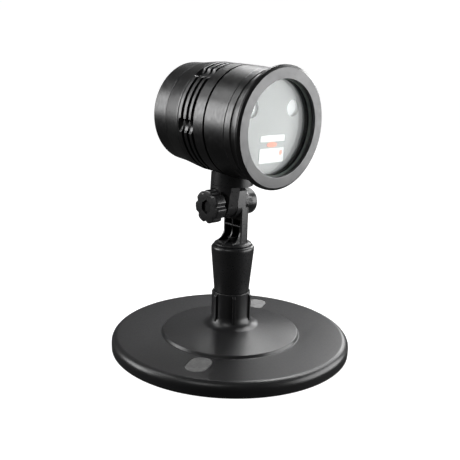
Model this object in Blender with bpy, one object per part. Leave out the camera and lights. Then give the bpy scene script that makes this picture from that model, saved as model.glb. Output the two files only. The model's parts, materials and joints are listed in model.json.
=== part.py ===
"""Outdoor laser light projector on a weighted round table base.

The head is a turned aluminium barrel with a screwed bezel, a toughened glass window and two
laser modules. A clamp hinge with a lobed knob tilts it on a ribbed nylon arm. The arm turns on
a tapered plug, and the plug lifts out of the socket in the middle of the base.

Units: the numbers below are millimetres and degrees, and the mesh helpers turn them into metres.
Axes: +Z is up, the light leaves towards -Y, and the knob is on the -X side. The origin is on
the base's axis, in the plane that the base stands on.
"""
import math

import bmesh
import bpy
from mathutils import Matrix, Vector

MM = 0.001
GAP = 0.3                    # clearance that neighbouring solids keep

# Base
BASE_R = 99.2                # largest radius of the base shell
BASE_LIFT = 0.3              # bottom edge of the shell above the table
BASE_TOP = 11.9              # flat top of the base
BASE_EDGE_R = 5.7            # rounding between side and top
STEP_R = 57.1                # radius of the step where the middle cone starts
STEP_TOP = 14.5
SHELL = 3.2                  # wall of the base moulding
COLLAR_R = 15.6              # outside of the socket collar
COLLAR_TOP = 48.6
FLARE_R = 9.9                # hollow rounding between collar and cone
CONE_SLOPE = 9.0             # slope of the cone, degrees
RIB_COUNT = 6
RIB_REACH = 17.2             # radius that the collar ribs reach
RIB_W = 2.4
RIB_TURN = 54.5              # direction of the first rib, degrees from +X
SOCKET_R_TOP = 14.67
SOCKET_R_LOW = 12.4
SOCKET_FLOOR = 22.6
BALLAST_LOW = 3.4
BALLAST_R = 92.0
BALLAST_BORE = 26.0
COVER = (1.2, 3.1)           # bottom cover between its two faces
COVER_SCREW_FLOOR = 2.3      # depth of the sunk seat under each cover screw's head
BOSS_COUNT = 4
BOSS_CIRCLE = 74.0           # radius of the circle of cover screws
BOSS_POST_R = 4.0
PAD_COUNT = 4
PAD_CIRCLE = 86.0
PAD_R = 7.0
PATCH_MID = 72.0             # radius at the middle of each blanking cover
PATCH_L = 26.4
PATCH_W = 17.2
PATCH_TURN = 206.9           # direction of the front blanking cover, degrees from +X
PATCH_THICK = 0.7
PATCH_RECESS = 1.0

# Fasteners
SMALL_SHANK_R = 1.45         # screws of the bottom cover and the rear cap
SMALL_HOLE_R = 1.8
SADDLE_SHANK_R = 1.8
SADDLE_HOLE_R = 2.1
SWIVEL_SHANK_R = 2.3
SWIVEL_HOLE_R = 2.65

# Stem
STEM_LOW = 24.2
STEM_R_LOW = 12.1
STEM_R_RIM = 14.37           # radius where the plug enters the collar
STEM_R_TOP = 17.6
STEM_SHOULDER = 83.4         # where the taper ends and the rounded top begins
STEM_EDGE_R = 2.6
STEM_TOP = 88.0
STEM_WALL_R = (9.4, 11.4)    # hollow inside the plug, at its foot and at its roof
STEM_ROOF = 82.0             # underside of the plug's roof

# Hinge and arm
HINGE_Z = 122.8
ARM_X = (-1.2, 7.0)          # slab of the arm between its two faces
ARM_HALF = 10.4              # half width of the arm along Y
FOOT_R = 15.4
EAR_X = (-6.0, 4.4)
EAR_R = 15.2
BOSS_R = 10.8
BOSS_END = 16.6
POCKET_Y = (0.7, 8.4)        # each pocket lies between the middle rib and a side rib
POCKETS_Z = ((91.4, 103.5), (104.7, 109.6))
POCKET_FLOOR = 4.6
POST_R = 4.0                 # round post that the swivel screw is driven into
POST_TOP = 94.6
GUSSET_SPREAD = 9.5          # radius of the hollow curve at the foot of each rib
NUT_FLOOR = 11.0             # bottom of the hexagon pocket in the boss
NUT_POCKET_R = 6.1
BOLT_R = 2.9
BOLT_HOLE_R = 3.25

# Knob
KNOB_X = (-30.4, -20.6)
KNOB_R = 13.2
KNOB_LOBES = 7
KNOB_NOTCH = 1.9             # depth of the notches between the lobes
KNOB_SOCKET_DEPTH = 5.6
KNOB_HUB_R = 6.6
KNOB_TURN = 20.0             # direction of the first notch, degrees from +Z towards +Y

# Head
HEAD_TILT = 3.4              # the front looks down by this much at rest
HEAD_X = -4.0                # the barrel's axis and the column of the hinge share this X
BARREL_UP = 66.66            # barrel axis above the hinge axis
COLUMN_R = 17.0
SEAM = 16.2                  # joint between tongue and saddle, above the hinge axis
SADDLE_SCREW_X = -11.0
SADDLE_SCREW_Y = 7.0
SADDLE_HEAD = (30.4, 32.9)   # heads of the saddle screws, inside the barrel
TONGUE_END_R = 10.6
TONGUE_SEAT = -16.4          # face that the knob's washer bears on
SADDLE_TOP = 30.0
TONGUE_X = -6.3              # face of the tongue that meets the ear
BARREL_R = 43.0              # radius at the fins
REAR_R = 40.9                # the tube tapers to this at its back end
FRONT_R = 42.5               # and to this at the bezel
TAPER_START = -19.4
BORE_R = 38.0
BARREL_REAR = -36.6          # positions along the barrel are measured forwards from the column
BARREL_STEP = 30.6
SPIGOT_R = 40.2
SPIGOT_END = 36.9
CAP_REAR = -53.8
CAP_R = 40.0                 # radius of the rear cap at its back edge
CAP_WALL = 4.0
CAP_BORE_R = 34.4
GLAND_UP = -14.0             # cable gland below the barrel axis
GLAND_R = 5.8
BEZEL_FRONT = 49.06
BEZEL_FACE_R = 44.0
LIP_R = 46.0                 # widest radius of the bezel
WINDOW_R = 36.0
FIN_GROOVES = (-14.6, -8.7, -3.2)
FIN_GROOVE_W = 2.8
FIN_GROOVE_FLOOR = 40.4
BAND_GROOVE = 9.35
FLUTE_COUNT = 6
FLUTE_R = 7.1
FLUTE_TURN = 6.0
FLUTE_DEPTH = 2.6
LASER_X = 22.0               # laser axes: left and right of the barrel axis, and above it
LASER_UP = 13.5
LASER_R = 6.0
HOLDER = (12.4, 22.4)        # the laser holder between its two faces
POST_CIRCLE = 20.0
LABEL_X = (-11.4, 15.0)
LABEL_UP = (-27.0, -16.0)
PLATE = (34.6, 36.4)         # the front plate between its two faces
GLASS = (39.6, 42.6)
SEAT_R = 39.3                # radius of the glass and its seals
BOARD = (-27.6, -26.0)       # the driver board between its two faces
BOARD_R = 31.0
CAP_SCREW_CIRCLE = 27.0

# Facets of round pieces
ROUND_BASE = 44
ROUND_HEAD = 32
ROUND_STEM = 24
ROUND_SMALL = 12
ROUND_SCREW = 8

ALONG_X = Matrix.Rotation(math.radians(90), 4, "Y")
# Turns a flat (y, z) outline so that it is extruded along X
FACE_X = Matrix(((0, 0, 1, 0), (1, 0, 0, 0), (0, 1, 0, 0), (0, 0, 0, 1)))
# Turns a flat (x, z) outline so that it is extruded along -Y
FACE_Y = Matrix(((1, 0, 0, 0), (0, 0, -1, 0), (0, 1, 0, 0), (0, 0, 0, 1)))


def clear_scene():
    """Empty the scene, so that the script gives the same result wherever it runs."""
    for old in list(bpy.data.objects):
        bpy.data.objects.remove(old, do_unlink=True)


def material(name, colour, roughness, metallic=0.0, transmission=0.0):
    """A plain Principled finish."""
    finish = bpy.data.materials.new(name)
    finish.use_nodes = True
    shader = finish.node_tree.nodes["Principled BSDF"]
    shader.inputs["Base Color"].default_value = (*colour, 1.0)
    shader.inputs["Roughness"].default_value = roughness
    shader.inputs["Metallic"].default_value = metallic
    shader.inputs["Transmission Weight"].default_value = transmission
    return finish


def empty(name, parent=None, at=(0, 0, 0), turn=(0, 0, 0)):
    """A frame that sub-parts are placed in. at is in millimetres, turn in degrees."""
    frame = bpy.data.objects.new(name, None)
    bpy.context.collection.objects.link(frame)
    frame.parent = parent
    frame.location = Vector(at) * MM
    frame.rotation_euler = [math.radians(a) for a in turn]
    return frame


def to_object(name, bm, parent, finish, sharp=35.0):
    """Close a bmesh into a named object with outward faces and smooth rounds."""
    bmesh.ops.remove_doubles(bm, verts=bm.verts, dist=1e-7)
    bmesh.ops.recalc_face_normals(bm, faces=bm.faces)
    mesh = bpy.data.meshes.new(name)
    bm.to_mesh(mesh)
    bm.free()
    mesh.materials.append(finish)
    mesh.shade_smooth()
    mesh.set_sharp_from_angle(angle=math.radians(sharp))
    piece = bpy.data.objects.new(name, mesh)
    bpy.context.collection.objects.link(piece)
    piece.parent = parent
    return piece


def combine(target, operand, operation):
    """Boolean the target with an operand that is itself left out of the object."""
    operand.hide_render = True
    operand.display_type = "WIRE"
    step = target.modifiers.new(operand.name, "BOOLEAN")
    step.object = operand
    step.operation = operation
    step.solver = "EXACT"


def arc(cx, cy, radius, start, end, steps):
    """Points on an arc, ends included. Angles are in degrees."""
    angles = [math.radians(start + (end - start) * i / steps) for i in range(steps + 1)]
    return [(cx + radius * math.cos(a), cy + radius * math.sin(a)) for a in angles]


def ring(count, radius, first=0.0):
    """Centres spaced evenly on a circle."""
    return [(radius * math.cos(a), radius * math.sin(a))
            for a in (math.radians(first) + math.tau * i / count for i in range(count))]


def lathe(bm, profile, steps, matrix=Matrix()):
    """Spin a closed profile of (radius, height) points about Z into a solid."""
    verts = [bm.verts.new((r * MM, 0, z * MM)) for r, z in profile]
    edges = [bm.edges.new((a, b)) for a, b in zip(verts, verts[1:] + verts[:1])
             if a.co.x > 1e-9 or b.co.x > 1e-9]
    bmesh.ops.spin(bm, geom=verts + edges, axis=(0, 0, 1), cent=(0, 0, 0),
                   steps=steps, angle=math.tau, use_duplicate=False)
    bmesh.ops.remove_doubles(bm, verts=bm.verts, dist=1e-7)
    loose = [v for v in bm.verts if not v.link_faces]
    bmesh.ops.delete(bm, geom=loose, context="VERTS")
    shift = matrix.copy()
    shift.translation = shift.translation * MM
    bmesh.ops.transform(bm, matrix=shift, verts=bm.verts)


def turned(name, profile, parent, finish, steps=ROUND_HEAD, matrix=Matrix()):
    """A piece made on the lathe."""
    bm = bmesh.new()
    lathe(bm, profile, steps, matrix)
    return to_object(name, bm, parent, finish)


def add_prism(bm, outline, low, high, matrix=Matrix()):
    """Extrude a closed outline of (x, y) points from height low to height high."""
    shift = matrix.copy()
    shift.translation = shift.translation * MM
    verts = [bm.verts.new(shift @ (Vector((x, y, low)) * MM)) for x, y in outline]
    face = bm.faces.new(verts)
    lift = shift.to_3x3() @ Vector((0, 0, (high - low) * MM))
    top = bmesh.ops.extrude_face_region(bm, geom=[face], use_keep_orig=True)["geom"]
    moved = [v for v in top if isinstance(v, bmesh.types.BMVert)]
    bmesh.ops.translate(bm, vec=lift, verts=moved)


def prism(name, outline, low, high, parent, finish, matrix=Matrix()):
    """An extruded piece."""
    bm = bmesh.new()
    add_prism(bm, outline, low, high, matrix)
    return to_object(name, bm, parent, finish)


def rectangle(x0, x1, y0, y1, corner=0.0, steps=3):
    """A rectangle with rounded corners, as an outline."""
    if corner <= 0:
        return [(x0, y0), (x1, y0), (x1, y1), (x0, y1)]
    c = corner
    return (arc(x1 - c, y0 + c, c, -90, 0, steps) + arc(x1 - c, y1 - c, c, 0, 90, steps)
            + arc(x0 + c, y1 - c, c, 90, 180, steps) + arc(x0 + c, y0 + c, c, 180, 270, steps))


def disc(radius, low, high, edge=0.0):
    """Profile of a solid disc, with an optional chamfer on both edges."""
    if edge <= 0:
        return [(0, low), (radius, low), (radius, high), (0, high)]
    return [(0, low), (radius - edge, low), (radius, low + edge),
            (radius, high - edge), (radius - edge, high), (0, high)]


def tube(inner, outer, low, high):
    """Profile of a plain ring."""
    return [(inner, low), (outer, low), (outer, high), (inner, high)]


def screw(name, at, head_r, head, shank_r, shank, parent, finish, steps=ROUND_SCREW):
    """A headed screw. head and shank are (low, high) heights that share one height."""
    up = head[0] >= shank[0]
    if up:
        profile = [(0, shank[0]), (shank_r, shank[0]), (shank_r, head[0]),
                   (head_r, head[0]), (head_r, head[1]), (0, head[1])]
    else:
        profile = [(0, head[0]), (head_r, head[0]), (head_r, head[1]),
                   (shank_r, head[1]), (shank_r, shank[1]), (0, shank[1])]
    return turned(name, profile, parent, finish, steps, Matrix.Translation((at[0], at[1], 0)))


def append(bm, part, matrix=Matrix()):
    """Copy one bmesh into another as a separate solid."""
    mesh = bpy.data.meshes.new("joined")
    bmesh.ops.transform(part, matrix=matrix, verts=part.verts)
    bmesh.ops.recalc_face_normals(part, faces=part.faces)
    part.to_mesh(mesh)
    part.free()
    bm.from_mesh(mesh)
    bpy.data.meshes.remove(mesh)


# ---------------------------------------------------------------- base

def base_outline():
    """Outer profile of the base shell, from the bottom edge up to the collar rim."""
    slope = math.radians(CONE_SLOPE)
    flare_x = COLLAR_R + FLARE_R
    cone_r = flare_x - FLARE_R * math.sin(slope)
    cone_z = STEP_TOP + (STEP_R - 1.7 - cone_r) * math.tan(slope)
    flare_z = cone_z + FLARE_R * math.cos(slope)
    edge = arc(BASE_R - BASE_EDGE_R, BASE_TOP - BASE_EDGE_R, BASE_EDGE_R, 0, 90, 4)
    step = [(STEP_R + 1.2, BASE_TOP), (STEP_R + 0.2, BASE_TOP + 0.6),
            (STEP_R - 0.4, STEP_TOP - 0.9), (STEP_R - 1.7, STEP_TOP)]
    flare = arc(flare_x, flare_z, FLARE_R, 270 - CONE_SLOPE, 180, 5)
    rim = [(COLLAR_R, COLLAR_TOP - 0.4), (COLLAR_R - 0.4, COLLAR_TOP)]
    return [(BASE_R - 0.6, BASE_LIFT), (BASE_R, 3.7)] + edge + step + flare + rim


def base_shell(frame, nylon):
    """One moulding: rim, flat, cone, socket collar with ribs, and bosses underneath."""
    under = BASE_TOP - SHELL
    inside = [(SOCKET_R_TOP, COLLAR_TOP), (SOCKET_R_LOW, SOCKET_FLOOR), (0, SOCKET_FLOOR),
              (0, SOCKET_FLOOR - SHELL), (15.0, SOCKET_FLOOR - SHELL),
              (24.0, STEP_TOP + 1.2), (STEP_R - 2.5, STEP_TOP - SHELL),
              (STEP_R - 1.0, under), (BASE_R - 6.2, under), (BASE_R - 3.0, under - 3.0),
              (BASE_R - 3.0, BASE_LIFT)]
    shell = turned("base_shell", base_outline() + inside, frame, nylon, steps=ROUND_BASE)

    extra = bmesh.new()
    for i in range(RIB_COUNT):
        turn = Matrix.Rotation(math.radians(RIB_TURN + 60.0 * i), 4, "Z")
        side = turn @ Matrix.Rotation(math.radians(90), 4, "X")
        reach = [(COLLAR_R - 0.6, 20.0), (RIB_REACH, 20.0), (RIB_REACH, COLLAR_TOP - 2.6),
                 (COLLAR_R - 0.6, COLLAR_TOP - 0.3)]
        part = bmesh.new()
        add_prism(part, reach, -RIB_W / 2, RIB_W / 2)
        append(extra, part, side)
    for x, y in ring(BOSS_COUNT, BOSS_CIRCLE, 45):
        part = bmesh.new()
        lathe(part, disc(BOSS_POST_R, BALLAST_LOW, under + 1.0), ROUND_SCREW, Matrix.Translation((x, y, 0)))
        append(extra, part)
    combine(shell, to_object("add_ribs_and_bosses", extra, frame, nylon), "UNION")

    holes = bmesh.new()
    for x, y in ring(BOSS_COUNT, BOSS_CIRCLE, 45):
        part = bmesh.new()
        lathe(part, disc(SMALL_HOLE_R, 2.0, under + 0.4), ROUND_SCREW, Matrix.Translation((x, y, 0)))
        append(holes, part)
    for turn in (PATCH_TURN, PATCH_TURN + 180.0):
        half_l = PATCH_L / 2 + GAP
        half_w = PATCH_W / 2 + GAP
        outline = rectangle(PATCH_MID - half_l, PATCH_MID + half_l, -half_w, half_w,
                            half_w - 0.1, 4)
        part = bmesh.new()
        add_prism(part, outline, BASE_TOP - PATCH_RECESS, BASE_TOP + 1.0)
        append(holes, part, Matrix.Rotation(math.radians(turn), 4, "Z"))
    combine(shell, to_object("cut_holes_and_recesses", holes, frame, nylon), "DIFFERENCE")
    return shell


def blanking_covers(frame, finish):
    """The two flush covers in the flat of the base."""
    outline = rectangle(PATCH_MID - PATCH_L / 2, PATCH_MID + PATCH_L / 2,
                        -PATCH_W / 2, PATCH_W / 2, PATCH_W / 2 - 0.1, 4)
    for side, turn in (("front", PATCH_TURN), ("rear", PATCH_TURN + 180.0)):
        cover = prism("blanking_cover_" + side, outline, BASE_TOP - PATCH_THICK, BASE_TOP, frame, finish)
        cover.rotation_euler.z = math.radians(turn)


def ballast(frame, steel):
    """The steel disc that weights the base, with holes around the screw bosses."""
    top = BASE_TOP - SHELL - GAP
    plate = turned("ballast_disc", tube(BALLAST_BORE, BALLAST_R, BALLAST_LOW, top), frame, steel)
    holes = bmesh.new()
    for x, y in ring(BOSS_COUNT, BOSS_CIRCLE, 45):
        part = bmesh.new()
        lathe(part, disc(BOSS_POST_R + 0.6, 2.0, top + 1.0), ROUND_SCREW, Matrix.Translation((x, y, 0)))
        append(holes, part)
    combine(plate, to_object("cut_ballast_holes", holes, frame, steel), "DIFFERENCE")


def bottom_cover(frame, nylon):
    """The sheet that closes the base from below, with sunk screw holes."""
    cover = turned("bottom_cover", disc(BASE_R - SHELL - 0.2, *COVER), frame, nylon, ROUND_BASE)
    holes = bmesh.new()
    for x, y in ring(BOSS_COUNT, BOSS_CIRCLE, 45):
        part = bmesh.new()
        profile = [(0, 0.6), (3.8, 0.6), (3.8, COVER_SCREW_FLOOR), (1.9, COVER_SCREW_FLOOR),
                   (1.9, 3.8), (0, 3.8)]
        lathe(part, profile, ROUND_SCREW, Matrix.Translation((x, y, 0)))
        append(holes, part)
    combine(cover, to_object("cut_cover_holes", holes, frame, nylon), "DIFFERENCE")


def cover_screws(frame, steel):
    """Screws that hold the bottom cover."""
    for i, at in enumerate(ring(BOSS_COUNT, BOSS_CIRCLE, 45), 1):
        screw(f"cover_screw_{i}", at, 3.4, (1.3, 2.0), SMALL_SHANK_R, (2.0, 7.6), frame, steel)


def foot_pads(frame, rubber):
    """Round pads that the object stands on."""
    for i, (x, y) in enumerate(ring(PAD_COUNT, PAD_CIRCLE), 1):
        turned(f"foot_pad_{i}", disc(PAD_R, 0.0, COVER[0] - GAP), frame, rubber, ROUND_SMALL,
               Matrix.Translation((x, y, 0)))


# ---------------------------------------------------------------- stem

def stem_plug(frame, nylon):
    """Tapered plug with a rounded top, hollow from below."""
    e = STEM_EDGE_R
    profile = [(STEM_WALL_R[0], STEM_LOW), (STEM_R_LOW - 0.5, STEM_LOW), (STEM_R_LOW, STEM_LOW + 0.6),
               (STEM_R_RIM, COLLAR_TOP), (STEM_R_TOP, STEM_SHOULDER)]
    profile += arc(STEM_R_TOP - e, STEM_TOP - e, e, 0, 90, 5)
    profile += [(2.7, STEM_TOP), (2.7, STEM_ROOF), (STEM_WALL_R[1], STEM_ROOF)]
    return turned("stem_plug", profile, frame, nylon, steps=ROUND_STEM)


def swivel_hardware(frame, steel):
    """Screw and washer that let the arm turn on the plug."""
    screw("swivel_screw", (0, 0), 4.4, (STEM_ROOF - 4.6, STEM_ROOF - 1.6), SWIVEL_SHANK_R,
          (STEM_ROOF - 1.6, POST_TOP - 1.8), frame, steel, ROUND_SMALL)
    turned("swivel_washer", tube(2.7, 6.5, STEM_ROOF - 1.3, STEM_ROOF - 0.3), frame, steel,
           steps=ROUND_SMALL)


# ---------------------------------------------------------------- arm

def ear_outline():
    """Rounded upright tongue of the arm, in the (Y, Z) plane through the hinge axis."""
    shoulder = math.degrees(math.acos(ARM_HALF / EAR_R))
    top = arc(0, HINGE_Z, EAR_R, shoulder, 180 - shoulder, 8)
    bottom = arc(0, HINGE_Z - 2.0, ARM_HALF, 180, 360, 8)
    return top + bottom


def gusset_outline():
    """Hollow-curved rib that spreads the slab onto its foot, in the (X, Z) plane."""
    x0 = ARM_X[0]
    spread = GUSSET_SPREAD
    low = STEM_TOP + 2.0
    curve = arc(x0 - spread, low + spread + 1.0, spread, 0, -78, 6)
    return [(x0 + 1.0, low + spread + 1.0)] + curve + [(x0 - 9.0, low - 0.8), (x0 + 1.0, low - 0.8)]


def arm_body(frame, nylon):
    """Foot, ribbed slab, hinge ear and nut boss as one moulding."""
    foot = STEM_TOP + GAP
    profile = [(0, foot), (FOOT_R, foot), (FOOT_R, foot + 1.0), (FOOT_R - 0.8, foot + 1.8),
               (ARM_HALF + 1.6, foot + 2.2), (0, foot + 2.2)]
    arm = turned("arm", profile, frame, nylon, steps=ROUND_STEM)

    slab = rectangle(ARM_X[0], ARM_X[1], -ARM_HALF, ARM_HALF, 2.6, 3)
    combine(arm, prism("add_slab", slab, foot + 1.2, HINGE_Z - 1.0, frame, nylon), "UNION")
    combine(arm, prism("add_ear", ear_outline(), EAR_X[0], EAR_X[1], frame, nylon, FACE_X), "UNION")
    round_end = [(0, EAR_X[1] - 1.0), (BOSS_R, EAR_X[1] - 1.0), (BOSS_R, BOSS_END - 2.0),
                 (BOSS_R - 0.6, BOSS_END - 0.6), (BOSS_R - 2.0, BOSS_END), (0, BOSS_END)]
    at_hinge = Matrix.Translation((0, 0, HINGE_Z)) @ ALONG_X
    combine(arm, turned("add_boss", round_end, frame, nylon, ROUND_STEM, at_hinge), "UNION")

    pockets = bmesh.new()
    near, far = POCKET_Y
    for y0, y1 in ((-far, -near), (near, far)):
        for z0, z1 in POCKETS_Z:
            part = bmesh.new()
            add_prism(part, rectangle(ARM_X[0] - 1.0, POCKET_FLOOR, y0, y1), z0, z1)
            append(pockets, part)
    combine(arm, to_object("cut_pockets", pockets, frame, nylon), "DIFFERENCE")

    post = turned("add_post", disc(POST_R, foot + 1.0, POST_TOP), frame, nylon, ROUND_SMALL)
    combine(arm, post, "UNION")
    ribs = bmesh.new()
    for y0, y1 in ((-far - 1.4, -far), (-near, near), (far, far + 1.4)):
        part = bmesh.new()
        add_prism(part, gusset_outline(), -y1, -y0, FACE_Y)
        append(ribs, part)
    combine(arm, to_object("add_gussets", ribs, frame, nylon), "UNION")

    holes = bmesh.new()
    part = bmesh.new()
    lathe(part, disc(SWIVEL_HOLE_R, foot - 1.0, POST_TOP - 1.3), ROUND_SCREW)
    append(holes, part)
    part = bmesh.new()
    lathe(part, disc(BOLT_HOLE_R, EAR_X[0] - 1.0, NUT_FLOOR + 1.0), ROUND_SMALL, at_hinge)
    append(holes, part)
    combine(arm, to_object("cut_arm_holes", holes, frame, nylon), "DIFFERENCE")
    hexagon = turned("cut_nut_pocket", disc(NUT_POCKET_R, NUT_FLOOR, BOSS_END + 1.0),
                     frame, nylon, 6, at_hinge)
    combine(arm, hexagon, "DIFFERENCE")


def pivot_nut(frame, steel):
    """Hexagon nut, captive in the boss."""
    at_hinge = Matrix.Translation((0, 0, HINGE_Z)) @ ALONG_X
    nut = turned("pivot_nut", disc(NUT_POCKET_R - 0.35, NUT_FLOOR + GAP, 16.0), frame, steel, 6, at_hinge)
    bore = turned("cut_nut_bore", disc(BOLT_R + GAP, 10.0, 18.0), frame, steel, ROUND_SCREW, at_hinge)
    combine(nut, bore, "DIFFERENCE")


# ---------------------------------------------------------------- knob

def knob_outline():
    """Seven round lobes with hollow notches between them, as (y, z) points."""
    points = []
    per_lobe = 8
    for i in range(KNOB_LOBES * per_lobe):
        phase = (i % per_lobe) / per_lobe
        dip = max(0.0, math.cos(math.tau * phase)) ** 1.6
        radius = KNOB_R - KNOB_NOTCH * dip
        angle = math.radians(90.0 - KNOB_TURN) + math.tau * i / (KNOB_LOBES * per_lobe)
        points.append((radius * math.cos(angle), radius * math.sin(angle)))
    return points


def knob(frame, nylon, steel):
    """Lobed knob, its bolt and its washer, all about the hinge axis."""
    face, back = KNOB_X
    bm = bmesh.new()
    add_prism(bm, knob_outline(), face, back, FACE_X)
    flat = [f for f in bm.faces if abs(f.normal.x) > 0.9 and len(f.verts) > 8]
    rim = list({e for f in flat for e in f.edges})
    bmesh.ops.bevel(bm, geom=rim, offset=0.7 * MM, segments=1, affect="EDGES")
    body = to_object("knob", bm, frame, nylon)
    hub = turned("add_knob_hub", disc(KNOB_HUB_R, back - 1.0, back + 2.4),
                 frame, nylon, ROUND_SMALL, ALONG_X)
    combine(body, hub, "UNION")
    socket = turned("cut_knob_hex", disc(5.7, face - 1.0, face + KNOB_SOCKET_DEPTH),
                    frame, nylon, 6, ALONG_X)
    combine(body, socket, "DIFFERENCE")
    bore = turned("cut_knob_bore", disc(BOLT_HOLE_R, face, back + 4.0), frame, nylon, ROUND_SMALL, ALONG_X)
    combine(body, bore, "DIFFERENCE")

    bolt = turned("pivot_bolt", disc(BOLT_R, face + 4.0, 15.4), frame, steel, ROUND_SCREW, ALONG_X)
    head = turned("add_bolt_head", disc(5.4, face + 1.8, face + 5.3), frame, steel, 6, ALONG_X)
    combine(bolt, head, "UNION")
    turned("knob_washer", tube(BOLT_HOLE_R, 7.4, back + 2.7, back + 3.7),
           frame, steel, ROUND_SMALL, ALONG_X)


# ---------------------------------------------------------------- head bracket

def tongue(frame, nylon):
    """The half of the hinge that carries the head, beside the arm's ear."""
    outline = arc(0, 0, TONGUE_END_R, 180, 360, 10) + [(12.2, SEAM - 0.2), (-12.2, SEAM - 0.2)]
    piece = prism("tongue", outline, -22.0, TONGUE_X, frame, nylon, FACE_X)
    column = turned("keep_column", disc(COLUMN_R, -20.0, SADDLE_TOP), frame, nylon, ROUND_STEM,
                    Matrix.Translation((HEAD_X, 0, 0)))
    combine(piece, column, "INTERSECT")
    seat = turned("cut_knob_seat", disc(KNOB_R + 0.5, -24.0, TONGUE_SEAT),
                  frame, nylon, ROUND_STEM, ALONG_X)
    combine(piece, seat, "DIFFERENCE")
    holes = bmesh.new()
    part = bmesh.new()
    lathe(part, disc(BOLT_HOLE_R, TONGUE_SEAT - 0.6, TONGUE_X + 1.0), ROUND_SMALL, ALONG_X)
    append(holes, part)
    for y in (-SADDLE_SCREW_Y, SADDLE_SCREW_Y):
        part = bmesh.new()
        lathe(part, disc(SADDLE_HOLE_R, 7.0, SEAM + 1.0), ROUND_SCREW,
              Matrix.Translation((SADDLE_SCREW_X, y, 0)))
        append(holes, part)
    combine(piece, to_object("cut_tongue_holes", holes, frame, nylon), "DIFFERENCE")


def saddle(frame, nylon, steel):
    """Round block between the tongue and the barrel, and the screws that hold them."""
    block = turned("saddle", disc(COLUMN_R, SEAM + 0.1, SADDLE_TOP), frame, nylon, ROUND_STEM,
                   Matrix.Translation((HEAD_X, 0, 0)))
    lie = Matrix.Translation((HEAD_X, 30.0, BARREL_UP)) @ Matrix.Rotation(math.radians(90), 4, "X")
    combine(block, turned("cut_saddle", disc(BARREL_R + GAP, 0.0, 60.0), frame, nylon, 72, lie),
            "DIFFERENCE")
    holes = bmesh.new()
    for y in (-SADDLE_SCREW_Y, SADDLE_SCREW_Y):
        part = bmesh.new()
        lathe(part, disc(SADDLE_HOLE_R, SEAM - 2.0, 40.0), ROUND_SCREW,
              Matrix.Translation((SADDLE_SCREW_X, y, 0)))
        append(holes, part)
    combine(block, to_object("cut_saddle_holes", holes, frame, nylon), "DIFFERENCE")
    for side, y in (("front", -SADDLE_SCREW_Y), ("rear", SADDLE_SCREW_Y)):
        screw("saddle_screw_" + side, (SADDLE_SCREW_X, y), 3.2, SADDLE_HEAD,
              SADDLE_SHANK_R, (8.0, SADDLE_HEAD[0]), frame, steel)


# ---------------------------------------------------------------- barrel

def barrel_profile():
    """Section of the barrel tube, with its grooves and the thread spigot in front."""
    r = BARREL_R
    half = FIN_GROOVE_W / 2
    points = [(REAR_R - 0.4, BARREL_REAR), (REAR_R, BARREL_REAR + 0.4), (r, TAPER_START)]
    for mid in FIN_GROOVES:
        points += [(r, mid - half), (FIN_GROOVE_FLOOR, mid - half),
                   (FIN_GROOVE_FLOOR, mid + half), (r, mid + half)]
    points += [(r, BAND_GROOVE - 1.1), (r - 2.0, BAND_GROOVE - 1.1),
               (r - 2.0, BAND_GROOVE + 1.1), (r, BAND_GROOVE + 1.1)]
    points += [(FRONT_R, BARREL_STEP - 0.3), (FRONT_R - 0.3, BARREL_STEP), (SPIGOT_R, BARREL_STEP),
               (SPIGOT_R, SPIGOT_END), (BORE_R, SPIGOT_END), (BORE_R, BARREL_REAR)]
    return points


def barrel(frame, metal):
    """Main tube. Six flutes run across its three fins."""
    body = turned("barrel", barrel_profile(), frame, metal, steps=ROUND_HEAD)
    cuts = bmesh.new()
    away = BARREL_R - FLUTE_DEPTH + FLUTE_R
    low = FIN_GROOVES[0] - 4.4
    high = FIN_GROOVES[-1] - 0.2
    for x, y in ring(FLUTE_COUNT, away, FLUTE_TURN):
        part = bmesh.new()
        lathe(part, disc(FLUTE_R, low, high), ROUND_SMALL, Matrix.Translation((x, y, 0)))
        append(cuts, part)
    for z in (-SADDLE_SCREW_Y, SADDLE_SCREW_Y):
        part = bmesh.new()
        at = Matrix.Translation((SADDLE_SCREW_X - HEAD_X, -BORE_R - 1.0, z))
        lathe(part, disc(SADDLE_HOLE_R + 0.1, -4.0, 6.0), ROUND_SCREW,
              at @ Matrix.Rotation(math.radians(90), 4, "X"))
        append(cuts, part)
    combine(body, to_object("cut_flutes", cuts, frame, metal), "DIFFERENCE")


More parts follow.
